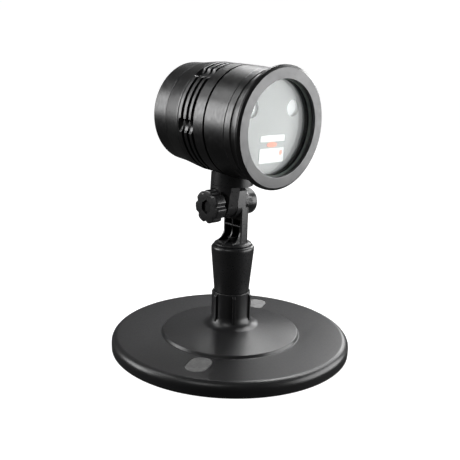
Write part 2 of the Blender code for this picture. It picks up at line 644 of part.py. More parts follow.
def rear_cap(frame, metal, rubber, steel):
    """Cup that closes the back, its seal and its three screws."""
    front = BARREL_REAR - GAP
    profile = [(0, CAP_REAR), (CAP_R - 1.8, CAP_REAR), (CAP_R - 0.6, CAP_REAR + 0.5),
               (CAP_R, CAP_REAR + 1.8), (REAR_R - 0.3, front - 0.3),
               (REAR_R - 0.5, front), (BORE_R - 0.3, front), (BORE_R - 0.3, front + 2.2),
               (BORE_R - 1.9, front + 2.2), (BORE_R - 1.9, front + 4.2),
               (BORE_R - 0.3, front + 4.2), (BORE_R - 0.3, front + 6.0),
               (CAP_BORE_R, front + 6.0), (CAP_BORE_R, CAP_REAR + CAP_WALL), (0, CAP_REAR + CAP_WALL)]
    cap = turned("rear_cap", profile, frame, metal, steps=ROUND_HEAD)
    holes = bmesh.new()
    for x, y in ring(3, CAP_SCREW_CIRCLE, 90):
        part = bmesh.new()
        sunk = [(0, CAP_REAR - 1.0), (3.4, CAP_REAR - 1.0), (3.4, CAP_REAR + 1.8),
                (SMALL_HOLE_R, CAP_REAR + 1.8), (SMALL_HOLE_R, CAP_REAR + 5.0), (0, CAP_REAR + 5.0)]
        lathe(part, sunk, ROUND_SCREW, Matrix.Translation((x, y, 0)))
        append(holes, part)
    part = bmesh.new()
    lathe(part, disc(GLAND_R + 0.4, CAP_REAR - 1.0, CAP_REAR + 5.0), ROUND_SMALL,
          Matrix.Translation((0, GLAND_UP, 0)))
    append(holes, part)
    combine(cap, to_object("cut_cap_holes", holes, frame, metal), "DIFFERENCE")
    turned("rear_seal", [(37.15 + 0.5 * math.cos(a), front + 3.2 + 0.8 * math.sin(a))
                         for a in (math.tau * i / 6 for i in range(6))],
           frame, rubber, steps=ROUND_STEM)
    for i, at in enumerate(ring(3, CAP_SCREW_CIRCLE, 90), 1):
        screw(f"rear_screw_{i}", at, 3.0, (CAP_REAR + 0.2, CAP_REAR + 1.5),
              SMALL_SHANK_R, (CAP_REAR + 1.5, HOLDER[0] - GAP), frame, steel)


def cable_gland(frame, nylon, rubber):
    """Gland for the mains lead, low on the rear cap, with its locknut inside."""
    place = Matrix.Translation((0, GLAND_UP, 0))
    back = CAP_REAR
    turned("gland_body", [(4.2, back - 8.0), (GLAND_R, back - 8.0), (GLAND_R, back - 4.0),
                          (8.2, back - 4.0), (8.2, back - GAP), (GLAND_R, back - GAP),
                          (GLAND_R, back + 7.6), (4.2, back + 7.6)],
           frame, nylon, ROUND_SMALL, place)
    turned("gland_cap", [(4.4, back - 15.0), (6.2, back - 15.0), (7.8, back - 12.5),
                         (7.8, back - 4.4), (6.1, back - 4.4), (6.1, back - 10.8),
                         (4.4, back - 10.8)], frame, nylon, ROUND_SMALL, place)
    turned("gland_seal", tube(3.8, 5.7, back - 10.5, back - 8.3),
           frame, rubber, ROUND_SMALL, place)
    nut = turned("gland_locknut", disc(9.4, back + 4.3, back + 7.2), frame, nylon, 6, place)
    bore = turned("cut_locknut", disc(6.1, back + 3.0, back + 9.0),
                  frame, nylon, ROUND_SMALL, place)
    combine(nut, bore, "DIFFERENCE")


def bezel(frame, metal):
    """Screwed ring with a waisted neck, a lip and a flat front face."""
    start = BARREL_STEP + GAP
    outer = [(40.5, start), (FRONT_R - 0.3, start), (FRONT_R, start + 0.3), (FRONT_R, 36.2),
             (FRONT_R - 0.8, 37.0), (FRONT_R - 1.2, 40.0), (FRONT_R - 0.8, 43.2),
             (LIP_R - 0.6, 44.7), (LIP_R, 45.3), (LIP_R, 46.3), (LIP_R - 0.8, 46.5),
             (LIP_R - 0.8, 46.9), (LIP_R, 47.1), (LIP_R, 47.4), (BEZEL_FACE_R, BEZEL_FRONT)]
    inner = [(WINDOW_R + 0.4, BEZEL_FRONT), (WINDOW_R, BEZEL_FRONT - 0.4), (WINDOW_R, 45.6),
             (39.7, 45.6), (39.7, 38.6), (40.5, 37.8)]
    turned("bezel", outer + inner, frame, metal, steps=ROUND_HEAD)


def window(frame, glass, rubber, pale_rubber):
    """Glass disc held between two seals."""
    turned("window_glass", disc(SEAT_R, *GLASS, 0.3), frame, glass, steps=ROUND_STEM)
    turned("window_seal_front", tube(35.5, SEAT_R, GLASS[1] + GAP, 45.3), frame, pale_rubber,
           steps=ROUND_STEM)
    turned("window_seal_rear", tube(35.8, SEAT_R, 37.2, GLASS[0] - GAP), frame, rubber, steps=ROUND_STEM)


def front_plate(frame, paint, paper):
    """Pale plate behind the glass, with a round window for each laser, and its label."""
    back, face = PLATE
    profile = [(0, back), (37.5, back), (37.5, face + 0.4), (36.4, face + 0.4), (36.0, face), (0, face)]
    plate = turned("front_plate", profile, frame, paint, steps=ROUND_STEM)
    holes = bmesh.new()
    for x in (-LASER_X, LASER_X):
        part = bmesh.new()
        lathe(part, disc(6.5, 33.0, 38.0), ROUND_SMALL, Matrix.Translation((x, LASER_UP, 0)))
        append(holes, part)
    combine(plate, to_object("cut_plate_windows", holes, frame, paint), "DIFFERENCE")
    prism("label_plate", rectangle(*LABEL_X, *LABEL_UP), PLATE[1] + GAP, PLATE[1] + 0.6, frame, paper)


def laser_optics(frame, brass, glass, film, metal):
    """Two laser modules with lens cells and grating discs, in one aluminium holder."""
    holder = turned("laser_holder", disc(BORE_R - GAP, *HOLDER), frame, metal, steps=ROUND_STEM)
    bores = bmesh.new()
    for x in (-LASER_X, LASER_X):
        part = bmesh.new()
        lathe(part, disc(LASER_R + GAP, HOLDER[0] - 1.0, HOLDER[1] + 1.0), ROUND_SMALL,
              Matrix.Translation((x, LASER_UP, 0)))
        append(bores, part)
    combine(holder, to_object("cut_laser_bores", bores, frame, metal), "DIFFERENCE")
    for side, x in (("left", -LASER_X), ("right", LASER_X)):
        place = Matrix.Translation((x, LASER_UP, 0))
        barrel_tube = [(0, -14.0), (LASER_R, -14.0), (LASER_R, 24.0), (4.3, 24.0),
                       (4.3, 18.0), (0, 18.0)]
        turned("laser_module_" + side, barrel_tube, frame, brass, ROUND_SMALL, place)
        turned("collimator_lens_" + side, disc(4.0, 20.0, 22.4, 0.4), frame, glass, ROUND_SMALL, place)
        turned("grating_cell_" + side, [(5.2, 24.3), (8.4, 24.3), (8.4, 34.3), (6.6, 34.3),
                                        (6.6, 32.3), (5.2, 32.3)], frame, metal, ROUND_SMALL, place)
        turned("diffraction_grating_" + side, disc(6.3, 32.6, 33.8), frame, film, ROUND_SMALL, place)


def electronics(frame, board_finish, metal, part_finish):
    """Driver board on three posts behind the laser holder, with its main components."""
    for i, (x, y) in enumerate(ring(3, POST_CIRCLE, 90), 1):
        turned(f"board_post_{i}", [(0, -28.6), (1.1, -28.6), (1.1, -25.7), (2.6, -25.7),
                                   (2.6, HOLDER[0] - GAP), (0, HOLDER[0] - GAP)], frame, metal, 6,
               Matrix.Translation((x, y, 0)))
    board = turned("driver_board", disc(BOARD_R, *BOARD), frame, board_finish, steps=ROUND_STEM)
    holes = bmesh.new()
    for x, y in ring(3, CAP_SCREW_CIRCLE, 90):
        part = bmesh.new()
        lathe(part, disc(2.4, -29.0, -24.0), ROUND_SCREW, Matrix.Translation((x, y, 0)))
        append(holes, part)
    for x, y in ring(3, POST_CIRCLE, 90):
        part = bmesh.new()
        lathe(part, disc(1.4, -29.0, -24.0), ROUND_SCREW, Matrix.Translation((x, y, 0)))
        append(holes, part)
    combine(board, to_object("cut_board_holes", holes, frame, board_finish), "DIFFERENCE")
    prism("transformer", rectangle(-9.0, 9.0, -4.0, 12.0, 1.0, 2), -40.0, -27.9,
          frame, part_finish)
    turned("capacitor", disc(4.0, -39.0, -27.9, 0.5), frame, part_finish, ROUND_SCREW,
           Matrix.Translation((-16.0, -4.0, 0)))


def build():
    """Make every sub-part in its own frame."""
    clear_scene()
    nylon = material("black_nylon", (0.022, 0.022, 0.023), 0.42)
    anodised = material("black_anodised", (0.028, 0.028, 0.03), 0.32, 0.9)
    matte = material("matte_patch", (0.16, 0.16, 0.16), 0.8)
    steel = material("steel", (0.55, 0.55, 0.56), 0.35, 1.0)
    rubber = material("rubber", (0.02, 0.02, 0.02), 0.8)
    pale = material("grey_silicone", (0.2, 0.24, 0.22), 0.6)
    glass = material("clear_glass", (0.95, 0.97, 0.96), 0.03, 0.0, 1.0)
    film = material("grating_film", (0.85, 0.87, 0.87), 0.3)
    black_steel = material("black_steel", (0.03, 0.03, 0.03), 0.4, 1.0)
    paint = material("pale_paint", (0.55, 0.57, 0.56), 0.5)
    paper = material("label_stock", (0.85, 0.85, 0.85), 0.6)
    brass = material("brass", (0.7, 0.5, 0.2), 0.3, 1.0)
    alloy = material("alloy", (0.6, 0.6, 0.62), 0.4, 1.0)
    green = material("board", (0.03, 0.2, 0.08), 0.5)
    black = material("component_black", (0.03, 0.03, 0.03), 0.5)

    base_frame = empty("base_frame")
    base_shell(base_frame, nylon)
    blanking_covers(base_frame, matte)
    ballast(base_frame, steel)
    bottom_cover(base_frame, nylon)
    cover_screws(base_frame, steel)
    foot_pads(base_frame, rubber)

    stem_frame = empty("stem_frame")
    stem_plug(stem_frame, nylon)

    arm_frame = empty("arm_frame", stem_frame)
    arm_body(arm_frame, nylon)
    swivel_hardware(arm_frame, steel)
    pivot_nut(arm_frame, steel)

    knob_frame = empty("knob_frame", arm_frame, (0, 0, HINGE_Z))
    knob(knob_frame, nylon, black_steel)

    head_frame = empty("head_frame", arm_frame, (0, 0, HINGE_Z), (HEAD_TILT, 0, 0))
    tongue(head_frame, nylon)
    saddle(head_frame, nylon, steel)

    barrel_frame = empty("barrel_frame", head_frame, (HEAD_X, 0, BARREL_UP), (90, 0, 0))
    barrel(barrel_frame, anodised)
    rear_cap(barrel_frame, anodised, rubber, steel)
    cable_gland(barrel_frame, nylon, rubber)
    bezel(barrel_frame, anodised)
    window(barrel_frame, glass, rubber, pale)
    front_plate(barrel_frame, paint, paper)
    laser_optics(barrel_frame, brass, glass, film, alloy)
    electronics(barrel_frame, green, alloy, black)


build()
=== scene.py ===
"""Finished look of the laser light projector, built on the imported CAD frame.

Units: numbers are millimetres and degrees, as in the part's source, and `piece` turns meshes into
metres. Axes: +Z is up, the light leaves towards -Y, and the knob is on the -X side. The barrel
pieces are made about their own axis: local +Z points forwards, +Y up and +X to +X.
"""
import json
import math

import bmesh
import bpy
from mathutils import Matrix, Vector


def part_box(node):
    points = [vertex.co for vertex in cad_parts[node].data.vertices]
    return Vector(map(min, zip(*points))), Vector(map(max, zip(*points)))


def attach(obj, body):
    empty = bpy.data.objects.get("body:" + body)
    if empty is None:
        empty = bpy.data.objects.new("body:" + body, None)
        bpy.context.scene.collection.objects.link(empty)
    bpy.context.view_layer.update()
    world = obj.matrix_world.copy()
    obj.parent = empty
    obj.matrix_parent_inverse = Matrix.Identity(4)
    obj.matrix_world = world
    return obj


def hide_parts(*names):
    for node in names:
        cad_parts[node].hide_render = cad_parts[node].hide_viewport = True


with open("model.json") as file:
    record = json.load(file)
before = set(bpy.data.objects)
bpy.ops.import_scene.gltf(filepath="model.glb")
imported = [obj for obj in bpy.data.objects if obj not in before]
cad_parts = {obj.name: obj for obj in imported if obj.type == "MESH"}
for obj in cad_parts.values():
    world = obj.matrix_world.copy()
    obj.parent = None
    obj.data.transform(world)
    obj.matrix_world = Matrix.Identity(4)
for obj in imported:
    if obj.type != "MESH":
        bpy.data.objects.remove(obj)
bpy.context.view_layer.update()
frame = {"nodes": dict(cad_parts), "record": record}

MM = 0.001
WEAR_FROM = 500.0             # curvature, per metre, at which a convex edge starts to look rubbed
WEAR_RANGE = 2500.0


def box(node):
    """Lowest and highest corner of a CAD node, in millimetres."""
    low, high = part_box(node)
    return Vector(low) / MM, Vector(high) / MM


def joint_height(name):
    """Height of a joint's place in the record, in millimetres."""
    joints = frame["record"]["behaviour"]["joints"]
    return next(j["pos_m"][2] for j in joints if j["name"] == name) / MM


# Base, from the frame
BASE_R = box("base_shell")[1].x
COLLAR_TOP = box("base_shell")[1].z
BASE_TOP = box("blanking_cover_front")[1].z
BASE_LIFT = 0.3
BASE_EDGE_R = 5.7
STEP_R = 57.1
STEP_TOP = 14.5
SHELL = 3.2
COLLAR_R = 15.6
FLARE_R = 9.9
CONE_SLOPE = 9.0
RIB_COUNT = 6
RIB_REACH = 17.2
RIB_W = 2.4
RIB_TURN = 54.5
SOCKET_R_TOP = 14.67
SOCKET_R_LOW = 12.4
SOCKET_FLOOR = 22.6
PATCH_MID = 72.0
PATCH_L = 26.4
PATCH_W = 17.2
PATCH_TURN = 206.9

# Stem and arm
STEM_LOW = box("stem_plug")[0].z
STEM_TOP = box("stem_plug")[1].z
STEM_R_TOP = box("stem_plug")[1].x
STEM_R_RIM = 14.37
STEM_SHOULDER = 83.4
STEM_EDGE_R = 2.6
HINGE_Z = joint_height("head_tilt")
ARM_LOW = box("arm")[0].z
ARM_X = (-1.2, 7.0)
ARM_HALF = 10.4
FOOT_R = 15.4
EAR_X = (-6.0, 4.4)
EAR_R = 15.2
BOSS_R = 10.8
BOSS_END = box("arm")[1].x
BOLT_HOLE_R = 3.25

# Knob
KNOB_FACE = box("knob")[0].x
KNOB_BACK = -20.6
KNOB_R = 13.2
KNOB_LOBES = 7
KNOB_TURN = 20.0

# Head
HEAD_TILT = 3.4
HEAD_X = (box("barrel")[0].x + box("barrel")[1].x) / 2
BARREL_UP = 66.66
COLUMN_R = 17.0
SEAM = 16.2
TONGUE_X = box("tongue")[1].x
BARREL_R = (box("barrel")[1].x - box("barrel")[0].x) / 2
REAR_R = 40.9
FRONT_R = 42.5
TAPER_START = -19.4
CAP_R = 40.0
LIP_R = 46.0
BORE_R = 38.0
BARREL_REAR = -36.6
BARREL_STEP = 30.6
SPIGOT_R = 40.2
SPIGOT_END = 36.9
CAP_REAR = -53.8
GLAND_UP = -14.0
GLAND_R = 5.8
BEZEL_FRONT = 49.06
BEZEL_FACE_R = 44.0
WINDOW_R = 36.0
FIN_GROOVES = (-14.6, -8.7, -3.2)
FIN_GROOVE_W = 2.8
FIN_GROOVE_FLOOR = 40.4
BAND_GROOVE = 9.35
FLUTE_COUNT = 6
FLUTE_R = 7.1
FLUTE_TURN = 6.0
FLUTE_DEPTH = 2.6
LASER_X = 22.0
LASER_UP = 13.5
LABEL_X = (-11.4, 15.0)
LABEL_UP = (-27.0, -16.0)
CAP_SCREW_CIRCLE = 27.0

BASE_AT = Matrix()
HINGE_AT = Matrix.Translation((0, 0, HINGE_Z))
ALONG_X = Matrix.Rotation(math.radians(90), 4, "Y")
KNOB_AT = HINGE_AT @ ALONG_X
HEAD_AT = HINGE_AT @ Matrix.Rotation(math.radians(HEAD_TILT), 4, "X")
BARREL_AT = (HEAD_AT @ Matrix.Translation((HEAD_X, 0, BARREL_UP))
             @ Matrix.Rotation(math.radians(90), 4, "X"))
# Turns a flat (y, z) outline so that it is extruded along X
FACE_X = Matrix(((0, 0, 1, 0), (1, 0, 0, 0), (0, 1, 0, 0), (0, 0, 0, 1)))
# Turns a flat (x, z) outline so that it is extruded along -Y
FACE_Y = Matrix(((1, 0, 0, 0), (0, 0, -1, 0), (0, 1, 0, 0), (0, 0, 0, 1)))


# ---------------------------------------------------------------- outlines

def arc(cx, cy, radius, start, end, steps):
    """Points on an arc, ends included. Angles are in degrees."""
    angles = [math.radians(start + (end - start) * i / steps) for i in range(steps + 1)]
    return [(cx + radius * math.cos(a), cy + radius * math.sin(a)) for a in angles]


def rectangle(x0, x1, y0, y1, corner=0.0, steps=10):
    """A rectangle with rounded corners, as an outline."""
    if corner <= 0:
        return [(x0, y0), (x1, y0), (x1, y1), (x0, y1)]
    c = corner
    return (arc(x1 - c, y0 + c, c, -90, 0, steps) + arc(x1 - c, y1 - c, c, 0, 90, steps)
            + arc(x0 + c, y1 - c, c, 90, 180, steps) + arc(x0 + c, y0 + c, c, 180, 270, steps))


def oval(x, y, half_width, half_height, steps=48):
    """An ellipse as an outline."""
    turns = [math.tau * i / steps for i in range(steps)]
    return [(x + half_width * math.cos(a), y + half_height * math.sin(a)) for a in turns]


def softened(points, radius, steps=4):
    """Round every corner of a closed outline that turns by more than 20 degrees.

    A third number in a point is that corner's own radius.
    """
    soft = []
    count = len(points)
    for i, point in enumerate(points):
        here = Vector(point[:2])
        back = Vector(points[i - 1][:2]) - here
        ahead = Vector(points[(i + 1) % count][:2]) - here
        on_axis = here.x < 1e-6
        turn = math.pi - back.angle(ahead, math.pi)
        if on_axis or turn < math.radians(20):
            soft.append(here)
            continue
        r = point[2] if len(point) > 2 else radius
        reach = min(r * math.tan(turn / 2), back.length * 0.45, ahead.length * 0.45)
        start = here + back.normalized() * reach
        end = here + ahead.normalized() * reach
        for k in range(steps + 1):
            t = k / steps
            soft.append(start * (1 - t) ** 2 + here * 2 * t * (1 - t) + end * t ** 2)
    return [(v.x, v.y) for v in soft]


# ---------------------------------------------------------------- meshes

def six_sided(corner, angle):
    """Radius of a hexagon with that corner radius, with a corner at angle 0."""
    return corner * math.cos(math.pi / 6) / math.cos(angle % (math.pi / 3) - math.pi / 6)


def lathe(bm, profile, steps, place=Matrix(), shape=None):
    """Spin a closed profile of (radius, height) points about Z.

    shape(r, z, angle) may change the radius round the turn, for flutes and hexagons.
    """
    rings = []
    for r, z in profile:
        if r < 1e-6:
            rings.append([bm.verts.new(place @ Vector((0, 0, z)))])
            continue
        turn = []
        for i in range(steps):
            a = math.tau * i / steps
            out = shape(r, z, a) if shape else r
            turn.append(bm.verts.new(place @ Vector((out * math.cos(a), out * math.sin(a), z))))
        rings.append(turn)
    for lower, upper in zip(rings, rings[1:] + rings[:1]):
        if len(lower) == 1 and len(upper) == 1:
            continue
        for i in range(steps):
            j = (i + 1) % steps
            if len(lower) == 1:
                bm.faces.new((lower[0], upper[i], upper[j]))
            elif len(upper) == 1:
                bm.faces.new((lower[i], lower[j], upper[0]))
            else:
                bm.faces.new((lower[i], lower[j], upper[j], upper[i]))


def prism(bm, outline, low, high, place=Matrix(), edge=0.0, segments=3):
    """Extrude a closed outline of (x, y) points, with its two rims rounded by edge."""
    part = bmesh.new()
    bottom = part.faces.new([part.verts.new((x, y, low)) for x, y in outline])
    grown = bmesh.ops.extrude_face_region(part, geom=[bottom], use_keep_orig=True)["geom"]
    moved = [v for v in grown if isinstance(v, bmesh.types.BMVert)]
    bmesh.ops.translate(part, vec=(0, 0, high - low), verts=moved)
    if edge > 0:
        rims = [e for e in part.edges if abs(e.verts[0].co.z - e.verts[1].co.z) < 1e-6]
        bmesh.ops.bevel(part, geom=rims, offset=edge, segments=segments, profile=0.5,
                        affect="EDGES", clamp_overlap=True)
    bmesh.ops.transform(part, matrix=place, verts=part.verts)
    bmesh.ops.recalc_face_normals(part, faces=part.faces)
    mesh = bpy.data.meshes.new("part")
    part.to_mesh(mesh)
    part.free()
    bm.from_mesh(mesh)
    bpy.data.meshes.remove(mesh)


def block(bm, x, y, z, edge=0.3):
    """A box with all its edges rounded. x, y and z are (low, high)."""
    part = bmesh.new()
    size = Vector((x[1] - x[0], y[1] - y[0], z[1] - z[0]))
    mid = Vector((x[1] + x[0], y[1] + y[0], z[1] + z[0])) / 2
    bmesh.ops.create_cube(part, size=1.0, matrix=Matrix.Translation(mid) @ Matrix.Diagonal((*size, 1)))
    bmesh.ops.bevel(part, geom=list(part.edges), offset=edge, segments=3, profile=0.5,
                    affect="EDGES", clamp_overlap=True)
    mesh = bpy.data.meshes.new("part")
    part.to_mesh(mesh)
    part.free()
    bm.from_mesh(mesh)
    bpy.data.meshes.remove(mesh)


def solid(name, bm, place):
    """Turn a bmesh in millimetres into an object in metres, with its place in its mesh."""
    bmesh.ops.transform(bm, matrix=place, verts=bm.verts)
    bmesh.ops.recalc_face_normals(bm, faces=bm.faces)
    bmesh.ops.scale(bm, vec=(MM, MM, MM), verts=bm.verts)
    mesh = bpy.data.meshes.new(name)
    bm.to_mesh(mesh)
    bm.free()
    made = bpy.data.objects.new(name, mesh)
    bpy.context.collection.objects.link(made)
    return made


def cut(target, tool, operation="DIFFERENCE"):
    """Apply a boolean to the target and remove the tool."""
    step = target.modifiers.new("cut", "BOOLEAN")
    step.object = tool
    step.operation = operation
    step.solver = "EXACT"
    apply_modifiers(target)
    bpy.data.objects.remove(tool, do_unlink=True)


def apply_modifiers(target):
    """Replace the mesh with its evaluated one."""
    bpy.context.view_layer.update()
    seen = target.evaluated_get(bpy.context.evaluated_depsgraph_get())
    mesh = bpy.data.meshes.new_from_object(seen)
    target.modifiers.clear()
    target.data = mesh


def rounded_edges(target, width, angle=35.0, segments=3):
    """Bevel the sharp edges that booleans left."""
    step = target.modifiers.new("rounding", "BEVEL")
    step.width = width * MM
    step.segments = segments
    step.limit_method = "ANGLE"
    step.angle_limit = math.radians(angle)
    step.use_clamp_overlap = True
    apply_modifiers(target)


def mark_wear(mesh):
    """Store how sharply each point stands out, from 0 on a broad face to 1 on a tight convex edge."""
    bm = bmesh.new()
    bm.from_mesh(mesh)
    layer = bm.verts.layers.float.new("wear")
    bend = {e: 0.0 for e in bm.edges}
    for e in bm.edges:
        if len(e.link_faces) == 2:
            first, second = (f.calc_center_median() for f in e.link_faces)
            width = max((first - second).length, 1e-6)
            bend[e] = e.calc_face_angle_signed(0.0) / width
    for v in bm.verts:
        sharpest = max((bend[e] for e in v.link_edges), default=0.0)
        v[layer] = min(max((sharpest - WEAR_FROM) / WEAR_RANGE, 0.0), 1.0)
    bm.to_mesh(mesh)
    bm.free()


def piece(made, finish, body, nodes, sharp=30.0):
    """Finish a piece: shade it, give it its material, and tie it to the frame."""
    mark_wear(made.data)
    made.data.materials.clear()
    made.data.materials.append(finish)
    for polygon in made.data.polygons:
        polygon.material_index = 0
    made.data.shade_smooth()
    made.data.set_sharp_from_angle(angle=math.radians(sharp))
    flat = made.modifiers.new("flat_faces", "WEIGHTED_NORMAL")
    flat.keep_sharp = True
    apply_modifiers(made)
    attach(made, body)
    if nodes:
        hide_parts(*nodes)
    return made


def turned(name, profile, finish, body, nodes, place, steps=192, shape=None):
    """A piece made on the lathe."""
    bm = bmesh.new()
    lathe(bm, profile, steps, shape=shape)
    return piece(solid(name, bm, place), finish, body, nodes)


# ---------------------------------------------------------------- materials

class Finish:
    """A node material that is built up in steps on one Principled shader."""

    def __init__(self, name, roughness, metallic=0.0, specular=0.5):
        self.data = bpy.data.materials.new(name)
        self.data.use_nodes = True
        self.tree = self.data.node_tree
        self.shader = self.tree.nodes["Principled BSDF"]
        self.shader.inputs["Roughness"].default_value = roughness
        self.shader.inputs["Metallic"].default_value = metallic
        self.shader.inputs["Specular IOR Level"].default_value = specular
        self.place = self.node("ShaderNodeTexCoord").outputs["Object"]
        self.normal = None

    def along_barrel(self):
        """Turn the texture so that its Z runs along the barrel's axis."""
        fit = self.node("ShaderNodeMapping")
        fit.inputs["Rotation"].default_value = (-math.radians(90 + HEAD_TILT), 0, 0)
        self.link(self.place, fit.inputs["Vector"])
        self.place = fit.outputs["Vector"]

    def node(self, kind, **settings):
        made = self.tree.nodes.new(kind)
        for key, value in settings.items():
            setattr(made, key, value)
        return made

    def link(self, source, target):
        self.tree.links.new(source, target)

    def noise(self, scale, detail=4.0, stretch=(1, 1, 1), roughness=0.5):
        """Noise with a scale in features per metre."""
        fit = self.node("ShaderNodeMapping")
        fit.inputs["Scale"].default_value = stretch
        self.link(self.place, fit.inputs["Vector"])
        made = self.node("ShaderNodeTexNoise")
        made.inputs["Scale"].default_value = scale
        made.inputs["Detail"].default_value = detail
        made.inputs["Roughness"].default_value = roughness
        self.link(fit.outputs["Vector"], made.inputs["Vector"])
        return made.outputs["Fac"]

    def between(self, value, low, high, start=0.3, end=0.7):
        """Map a value from start..end to low..high."""
        made = self.node("ShaderNodeMapRange")
        for key, number in (("From Min", start), ("From Max", end), ("To Min", low), ("To Max", high)):
            made.inputs[key].default_value = number
        self.link(value, made.inputs["Value"])
        return made.outputs["Result"]

    def blend(self, value, first, second):
        """Mix two colours, or a colour socket with a colour."""
        made = self.node("ShaderNodeMix", data_type="RGBA")
        for socket, colour in ((made.inputs[6], first), (made.inputs[7], second)):
            if isinstance(colour, tuple):
                socket.default_value = (*colour, 1.0)
            else:
                self.link(colour, socket)
        self.link(value, made.inputs[0])
        return made.outputs[2]

    def bump(self, value, height, strength=1.0):
        """Add a relief of that height in millimetres."""
        made = self.node("ShaderNodeBump")
        made.inputs["Distance"].default_value = height * MM
        made.inputs["Strength"].default_value = strength
        self.link(value, made.inputs["Height"])
        if self.normal:
            self.link(self.normal, made.inputs["Normal"])
        self.normal = made.outputs["Normal"]
        self.link(self.normal, self.shader.inputs["Normal"])

    def colour(self, socket):
        self.link(socket, self.shader.inputs["Base Color"])

    def roughness(self, socket):
        self.link(socket, self.shader.inputs["Roughness"])

    def worn(self, socket, edge, most=0.6):
        """Lighten convex edges, in patches, where the surface is rubbed."""
        made = self.node("ShaderNodeAttribute", attribute_name="wear").outputs["Fac"]
        patchy = self.node("ShaderNodeMath", operation="MULTIPLY")
        self.link(self.between(made, 0.0, most, 0.0, 1.0), patchy.inputs[0])
        self.link(self.between(self.noise(160.0, 4.0), 0.35, 1.0), patchy.inputs[1])
        return self.blend(patchy.outputs["Value"], socket, edge)


def moulded(name, dark, light, roughness, grain=0.012, edge=(0.09, 0.09, 0.092)):
    """Satin moulded nylon: fine spark-eroded grain, cloudy gloss and rubbed edges."""
    f = Finish(name, roughness)
    cloud = f.noise(45.0, 3.0)
    f.colour(f.worn(f.blend(f.between(cloud, 0.0, 1.0), dark, light), edge))
    f.roughness(f.between(f.noise(700.0, 4.0), roughness - 0.04, roughness + 0.05))
    f.bump(f.noise(1900.0, 3.0), grain)
    return f.data


def anodised(name, dark, light, roughness):
    """Turned and anodised aluminium: tool lines round the axis under a satin black film."""
    f = Finish(name, roughness, metallic=1.0)
    f.along_barrel()
    lines = f.noise(1.0, 2.0, (14.0, 14.0, 5200.0))
    cloud = f.noise(30.0, 4.0)
    f.colour(f.worn(f.blend(f.between(cloud, 0.0, 1.0), dark, light), (0.3, 0.3, 0.31)))
    f.roughness(f.between(f.noise(220.0, 5.0, (1, 1, 3)), roughness - 0.06, roughness + 0.08))
    f.bump(lines, 0.008)
    f.bump(f.noise(2600.0, 2.0), 0.006)
    return f.data


def pebbled(name, dark, light, roughness):
    """Matte pebbled plastic."""
    f = Finish(name, roughness, specular=0.35)
    cell = f.node("ShaderNodeTexVoronoi", feature="SMOOTH_F1")
    cell.inputs["Scale"].default_value = 1500.0
    f.link(f.place, cell.inputs["Vector"])
    f.colour(f.blend(f.between(f.noise(300.0, 5.0), 0.0, 1.0), dark, light))
    f.roughness(f.between(f.noise(120.0, 3.0), roughness - 0.08, roughness + 0.06))
    f.bump(cell.outputs["Distance"], 0.05)
    return f.data


def machined(name, dark, light, roughness, stretch=(1, 1, 30)):
    """Bright bare metal with fine scratches in one direction."""
    f = Finish(name, roughness, metallic=1.0)
    f.colour(f.blend(f.between(f.noise(70.0, 4.0), 0.0, 1.0), dark, light))
    f.roughness(f.between(f.noise(400.0, 4.0, stretch), roughness - 0.08, roughness + 0.12))
    f.bump(f.noise(300.0, 3.0, stretch), 0.01)
    return f.data


def rubbery(name, dark, light, roughness):
    """Rubber or silicone with a soft bloom."""
    f = Finish(name, roughness, specular=0.4)
    f.colour(f.blend(f.between(f.noise(110.0, 4.0), 0.0, 1.0), dark, light))
    f.roughness(f.between(f.noise(300.0, 3.0), roughness - 0.1, roughness + 0.08))
    f.bump(f.noise(900.0, 3.0), 0.015)
    return f.data


def painted(name, dark, light, roughness):
    """Satin paint with a slight orange peel."""
    f = Finish(name, roughness)
    f.colour(f.blend(f.between(f.noise(35.0, 3.0), 0.0, 1.0), dark, light))
    f.roughness(f.between(f.noise(150.0, 3.0), roughness - 0.06, roughness + 0.08))
    f.bump(f.noise(700.0, 2.0), 0.02)
    return f.data


def clear(name):
    """Toughened glass with faint smears on its surface."""
    f = Finish(name, 0.03)
    f.shader.inputs["Transmission Weight"].default_value = 1.0
    f.shader.inputs["IOR"].default_value = 1.3
    f.colour(f.blend(f.between(f.noise(25.0, 2.0), 0.0, 1.0), (0.96, 0.985, 0.975), (0.98, 0.995, 0.99)))
    f.roughness(f.between(f.noise(60.0, 5.0), 0.012, 0.05))
    f.bump(f.noise(18.0, 1.0), 0.01)
    return f.data


def circuit(name):
    """Solder mask over tracks, with gloss that changes over the copper."""
    f = Finish(name, 0.35)
    f.along_barrel()
    brick = f.node("ShaderNodeTexBrick")
    brick.inputs["Scale"].default_value = 260.0
    brick.inputs["Mortar Size"].default_value = 0.12
    f.link(f.place, brick.inputs["Vector"])
    f.colour(f.blend(brick.outputs["Fac"], (0.012, 0.11, 0.035), (0.03, 0.2, 0.07)))
    f.roughness(f.between(f.noise(200.0, 3.0), 0.25, 0.45))
    f.bump(brick.outputs["Fac"], 0.03)
    return f.data


NYLON = moulded("nylon", (0.012, 0.012, 0.0125), (0.015, 0.015, 0.016), 0.33)
NYLON_FINE = moulded("nylon_fine", (0.012, 0.012, 0.0125), (0.018, 0.018, 0.019), 0.3, 0.006)
ANODISED = anodised("anodised", (0.064, 0.064, 0.065), (0.08, 0.08, 0.08), 0.34)
PATCH = pebbled("patch", (0.1, 0.1, 0.1), (0.16, 0.16, 0.158), 0.72)
STEEL = machined("steel", (0.5, 0.5, 0.51), (0.66, 0.66, 0.67), 0.32)
ALLOY = machined("alloy", (0.58, 0.58, 0.6), (0.72, 0.72, 0.74), 0.36)
BRASS = machined("brass", (0.6, 0.42, 0.16), (0.76, 0.56, 0.24), 0.3)
RUBBER = rubbery("rubber", (0.014, 0.014, 0.014), (0.026, 0.026, 0.026), 0.75)
# Front seal finish: the seal is real, but its pale grey-green tone is a painted glint that stands in for the
# greenish glint at the glass's edge.
SILICONE_PAINTED_GLINT = rubbery("silicone", (0.17, 0.2, 0.19), (0.24, 0.28, 0.26), 0.5)
